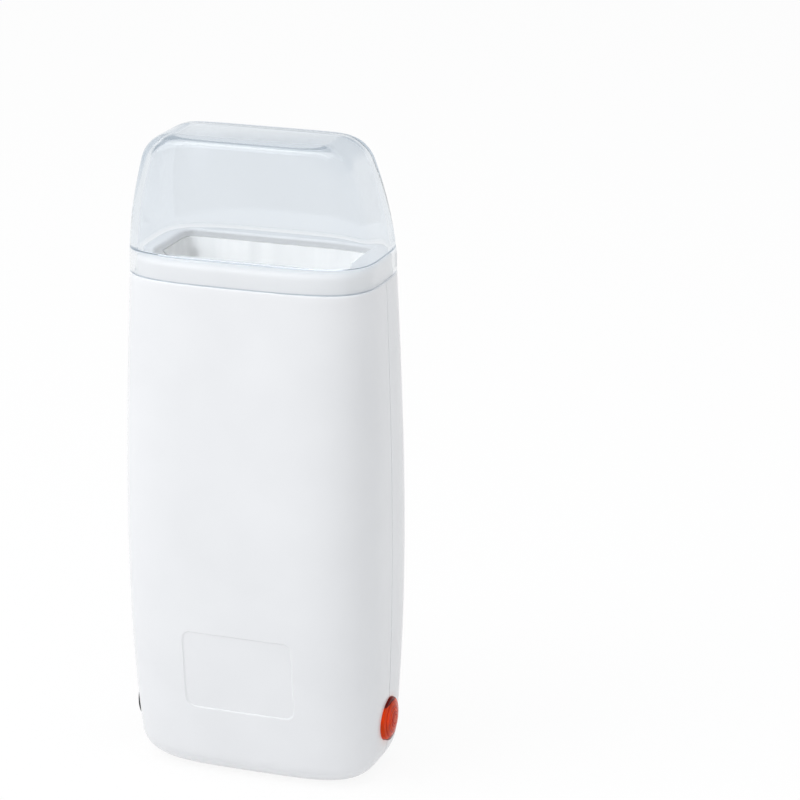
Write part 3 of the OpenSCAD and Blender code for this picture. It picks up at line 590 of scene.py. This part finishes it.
def closures(shell, side):
    """The tongue and hooks of the front shell, the catches of the rear one, and the inlet's web."""
    if side < 0:
        tongue = add(seam_frame(WALL + 0.12, WALL + 1.12, -1.8, 1.6), seam_frame(WALL - 0.4, WALL + 0.6, -1.8, 0))
        # It stops clear of the lamp and the inlet
        cut(tongue, box(-60, 60, -5, 5, 4, 31))
        cut(tongue, box(-60, -28, -5, 5, -1, 19))
        add(shell, tongue)
    for z in HOOK_ZS:
        x = body_a(z, WALL) - 4
        for s in (-1, 1):
            if side < 0:
                hook = [(x, -8), (x + 1.5, -8), (x + 1.5, 4.9), (x + 2.7, 4.9), (x + 1.5, 7.5), (x, 7.5)]
                add(shell, plate(hook, z - 4, z + 4, s))
                add(shell, box(x, x + 5, -8, -2, z - 1, z + 1, s))
            else:
                add(shell, box(x + 1.75, x + 4.95, 2.7, 4.7, z - 4, z + 4, s))
    web = [(0, 29), (0, 2.1)]
    web += [(side * skin_y(WEB_X - 0.8, z, WALL / 2), z) for z in (2.6, 4, 6, 9, 14, 19, 24, 29)]
    web = prism("web", web[::-1] if side < 0 else web, WEB_X - WEB_T, WEB_X, "X")
    cut(web, prism("pass", stadium(23.3, 13.5, SERVICE), WEB_X - 5, WEB_X + 5, "X"))
    add(shell, web)


def tub_outline(gap):
    return rounded(TUB_W + 2 * gap, TUB_D + 2 * gap, TUB_R + gap)


def fit_out(shell, side):
    """Ribs, screw bosses and the holes of one shell. side is -1 in front and 1 behind."""
    front = side < 0
    gap = 0.0 if front else 1.9  # room behind the seam for the tongue
    q = -quarter(24)
    q = np.concatenate([q[:-1], (-180 - q)[::-1]])
    for z in RIB_ZS:
        x, y = oval(body_a(z, 1.1), body_b(z, 1.1), q)
        outline = np.stack([x, np.minimum(y, -gap - 0.001)], 1)
        add(shell, prism("rib", outline[::-1] if front else outline * (1, -1), z, z + RIB_T))
    cut(shell, prism("tub", tub_outline(TUB_FIT), 60, 160))
    closures(shell, side)
    reach = skin_y(SCREW_X, SCREW_Z, WALL / 2)
    ends = (-reach, 0.0) if front else (0.0, reach)
    for x in (-SCREW_X, SCREW_X):
        add(shell, prism("boss", circle(4 if front else 5, 64, SCREW_Z, x), *ends, axis="Y"))
        if front:
            cut(shell, prism("bore", circle(PILOT_R, 48, SCREW_Z, x), -10, 1, axis="Y"))
        else:
            cut(shell, prism("bore", circle(CLEAR_R, 48, SCREW_Z, x), -1, 30, axis="Y"))
            cut(shell, prism("well", circle(WELL_R, 64, SCREW_Z, x), WELL_Y, 45, axis="Y"))
    cut(shell, prism("lamp_hole", circle(BARREL_R, 96, 0, SERVICE), 20, 60, axis="X"))
    cut(shell, prism("lamp_seat", circle(LENS_R + 0.075, 128, 0, SERVICE), LENS_SEAT, 60, axis="X"))
    cut(shell, prism("inlet_hole", stadium(INLET_W, INLET_H, SERVICE), -60, -30, axis="X"))
    groove = oval_outline(body_a(GROOVE_LOW, GROOVE_DEEP), body_b(GROOVE_LOW, GROOVE_DEEP), ring_angles(24))
    cut(shell, prism("groove", groove, GROOVE_LOW, GROOVE_HIGH))
    if not front:
        # Wires to the heater pass the lowest rib here
        cut(shell, box(-9, 9, 15, 21, 60, 72))
    return smooth(shell)


front = fit_out(half_shell("front_housing", True), -1)
rear = fit_out(half_shell("rear_housing", False), 1)
for obj, node in ((front, "front_shell"), (rear, "rear_shell")):
    dress(obj, "white")
    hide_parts(node)
    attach(obj, "heater")

# ---------------------------------------------------------------- collar

NECK_IN, NECK_EDGE = 1.75, 3.0
MOUTH_W, MOUTH_D, MOUTH_R, MOUTH_EDGE = 62.6, 29.2, 4.0, 0.9
SLEEVE_GAP = 1.75  # from the tub's outline to the outside of the sleeve round it
ring_q = ring_angles(40)


def neck_rings():
    rows = [lid_ring(SHOULDER + 0.01, NECK_IN, ring_q)]
    rows += [lid_ring(z, NECK_IN, ring_q) for z in np.linspace(SHOULDER, RIM - NECK_EDGE, 5)[1:-1]]
    for t in bend(90, 15):
        z, deep = RIM - NECK_EDGE + NECK_EDGE * math.sin(t), NECK_IN + NECK_EDGE * (1 - math.cos(t))
        rows.append(lid_ring(z, deep, ring_q))
    return rows


def mouth_rings(low):
    """The opening, widening over a rounded edge at the rim."""
    rows = [(0, low)]
    rows += [(MOUTH_EDGE * (1 - math.cos(t)), RIM - MOUTH_EDGE + MOUTH_EDGE * math.sin(t)) for t in bend(88, 9)]
    rows.append((MOUTH_EDGE * 1.3, RIM + 0.5))
    return [np.array([(x, y, z) for x, y in rounded(MOUTH_W + 2 * g, MOUTH_D + 2 * g, MOUTH_R + g)]) for g, z in rows]


collar = stack("collar", neck_rings())
add(collar, prism("skirt", oval_outline(37.9, 22.1, ring_q), SHOULDER - 5, SHOULDER + 1))
add(collar, prism("bead", oval_outline(39.15, 23.35, ring_q), SHOULDER - 3.95, SHOULDER - 2.45))
hollow = prism("hollow", oval_outline(36.1, 20.3, ring_q), SHOULDER - 6, SHOULDER - 1.4)
cut(hollow, prism("sleeve", tub_outline(SLEEVE_GAP), SHOULDER - 8, RIM + 5))
cut(collar, hollow)
cut(collar, prism("tub_bore", tub_outline(TUB_FIT), SHOULDER - 20, RIM - 2.25))
cut(collar, stack("mouth", mouth_rings(SHOULDER - 20)))
smooth(collar)
dress(collar, "collar")
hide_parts("mouth_collar")
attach(collar, "heater")

# ---------------------------------------------------------------- lid

LID_EDGE, LID_WALL, SKIRT_WALL = 0.3, 2.0, 1.35
LID_FOOT, LEDGE = SHOULDER + 0.1, RIM + 0.6
TOP_ZONE = 9.0  # height below the lid's top where its rings draw together
lid_q = ring_angles(64)


def lid_heights(low, top, n):
    start = top - TOP_ZONE
    return list(np.linspace(low, start, n)) + [start + TOP_ZONE * math.sin(t) for t in bend(90, 19)[1:]]


def lid_rings(places):
    return [lid_ring(z, deep, lid_q) for z, deep in places]


outside = [(LID_FOOT + LID_EDGE * (1 - math.cos(t)), LID_EDGE * (1 - math.sin(t))) for t in np.radians((0, 30, 60))]
outside += [(z, 0) for z in lid_heights(LID_FOOT + LID_EDGE, LID_TOP, 24)]
lid = stack("hood", lid_rings(outside))
# A thinner skirt that slips over the neck, a ledge, then the full wall
inside = [(z, SKIRT_WALL) for z in (SHOULDER - 1, *np.linspace(SHOULDER + 0.2, LEDGE - 0.3, 5))]
inside += [(LEDGE, 1.45), (LEDGE + 0.15, 1.7), (LEDGE + 0.2, 1.95)]
inside += [(z, LID_WALL) for z in lid_heights(LEDGE + 0.3, LID_TOP - LID_WALL, 20)]
cut(lid, stack("inside", lid_rings(inside)))
smooth(lid, 40)
dress(lid, "clear")
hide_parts("lid")
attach(lid, "lid")

# ---------------------------------------------------------------- lamp lens

PROUD = 43.27  # how far the dome stands out, from the middle of the heater
FACE = LENS_SEAT + 1.6
DOME_R = LENS_R**2 / (2 * (PROUD - FACE))
FLANGE_R = 0.45  # radius of the flange's outer edge
BARREL_IN, BARREL_OUT = 3.1, 5.9


def crown(r):
    """Place along X of the dome's surface, at a radius."""
    return PROUD - DOME_R + math.sqrt(DOME_R**2 - r * r)


def on_dome(*radii):
    return [(r, crown(r)) for r in radii]


def lens_profile():
    """From the barrel's inside end out over the flange, in over the ringed dome and back up the bore."""
    brink = FACE - 0.25
    profile = [(BARREL_IN, LENS_SEAT - 9.5), (BARREL_OUT, LENS_SEAT - 9.5), (BARREL_OUT, LENS_SEAT - 0.02)]
    profile += [(LENS_R, LENS_SEAT - 0.02), (LENS_R, brink)]
    for t in np.radians((25, 50, 75)):
        profile.append((LENS_R - FLANGE_R * (1 - math.cos(t)), brink + FLANGE_R * math.sin(t)))
    profile += on_dome(6.45)
    # Grooves at these radii, and their depths
    for r, dip in ((5.6, 0.2), (3.4, 0.3), (2.4, 0.3), (1.4, 0.3)):
        profile += on_dome(r + 0.42)
        profile += [(r + 0.3, crown(r) - dip / 3), (r + 0.21, crown(r) - dip), (r + 0.1, crown(r) - dip / 3)]
        profile += on_dome(r)
        if r == 5.6:
            profile += on_dome(5.0, 4.4)
    profile += on_dome(0.8) + [(0.0, PROUD), (0.0, LENS_SEAT - 0.5)]
    return profile + [(1.4, LENS_SEAT - 0.7), (2.4, LENS_SEAT - 1.2), (BARREL_IN, LENS_SEAT - 2)]


lens = smooth(lathe_x("lens", lens_profile(), SERVICE, 128), 38)
dress(lens, "lens")
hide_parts("lamp_lens")
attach(lens, "heater")

# ---------------------------------------------------------------- carried-over nodes

FINISH = {
    "case_screws": "bright", "heating_tub": "tub", "ptc_heater": "pressed", "heater_film": "film",
    "clamp_strap": "bright", "stud_nuts": "bright", "thermostat_cap": "pressed", "thermostat_body": "dark",
    "thermostat_tabs": "brass", "thermal_fuse": "pressed", "fuse_clip": "pressed", "lens_washer": "bright",
    "neon_lamp": "glass", "lamp_resistor": "tan", "inlet_body": "black", "inlet_pins": "bright",
    "spade_terminals": "red", "line_lead": "brown", "fuse_lead": "sleeve", "heater_lead": "sleeve",
    "neutral_lead": "blue", "lamp_line_lead": "brown", "lamp_neutral_lead": "blue",
}
for node, key in FINISH.items():
    obj = dress(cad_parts[node], key)
    obj.data.shade_smooth()
    obj.modifiers.new("join", "WELD").merge_threshold = 1e-6
    obj.modifiers.new("edges", "EDGE_SPLIT").split_angle = math.radians(30)

# ---------------------------------------------------------------- floor, sky, lamps


def backdrop(name, colour, share):
    """Pale surface. Seen straight, in gloss or through glass, part of it shows as plain white."""
    m = Look(name)
    m.set(Base_Color=(*colour, 1), Roughness=0.9, Specular_IOR_Level=0.0)
    glow = m.node("ShaderNodeEmission")
    glow.inputs["Strength"].default_value = 1.0
    m.surface(m.maths("MULTIPLY", m.seen(), share), m.shader.outputs["BSDF"], glow.outputs["Emission"])
    return m.mat


def studio_sky():
    """Seen, a white horizon under a cooler ceiling. As light, soft, and stronger towards overhead."""
    world = bpy.data.worlds.new("studio")
    bpy.context.scene.world = world
    world.use_nodes = True
    sky = Tree(world.node_tree, "World Output")
    light, view = world.node_tree.nodes["Background"], sky.node("ShaderNodeBackground")
    way, lift = sky.node("ShaderNodeTexCoord"), sky.node("ShaderNodeSeparateXYZ")
    sky.link(way.outputs["Generated"], lift.inputs[0])
    height = lift.outputs["Z"]
    view.inputs["Strength"].default_value = 1.0
    sky.link(sky.ramp(height, ((0.14, (1, 1, 1)), (0.34, (0.52, 0.57, 0.62)))), view.inputs["Color"])
    light.inputs["Color"].default_value = (0.98, 0.99, 1.0, 1)
    sky.link(sky.span(height, 0.38, 0.88, 0, 1), light.inputs["Strength"])
    sky.surface(sky.seen(), light.outputs["Background"], view.outputs["Background"])


def softbox(name, where, aim, size, power):
    light = bpy.data.lights.new(name, "AREA")
    light.shape, light.size, light.size_y = "RECTANGLE", size[0], size[1]
    light.energy = power
    obj = bpy.data.objects.new(name, light)
    bpy.context.scene.collection.objects.link(obj)
    obj.location = where
    obj.rotation_mode = "QUATERNION"
    obj.rotation_quaternion = (Vector(where) - Vector(aim)).to_track_quat("Z", "Y")
    return obj


# Far wider than the view, and reaching further behind the heater than in front of it
FLOOR = [(-6000, -3000, 0), (6000, -3000, 0), (6000, 9000, 0), (-6000, 9000, 0)]
floor = solid("floor", FLOOR, [(0, 1, 2, 3)])
floor.data.materials.append(backdrop("pale_floor", (0.92, 0.92, 0.92), 0.9))

studio_sky()
softbox("key", (-1.25, -1.0, 1.4), (0, 0, 0.1), (1.6, 1.2), 12.5)
softbox("top", (-0.1, -0.6, 1.5), (0, 0, 0.1), (1.4, 1.4), 7.8)
# For the tub alone, to bring out its drawn metal
glint = softbox("glint", (-0.55, -1.1, 1.1), (0, 0, 0.15), (0.3, 0.3), 13.0)
tub_only = bpy.data.collections.new("tub_only")
tub_only.objects.link(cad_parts["heating_tub"])
glint.light_linking.receiver_collection = tub_only

bpy.context.scene.view_settings.view_transform = "Standard"
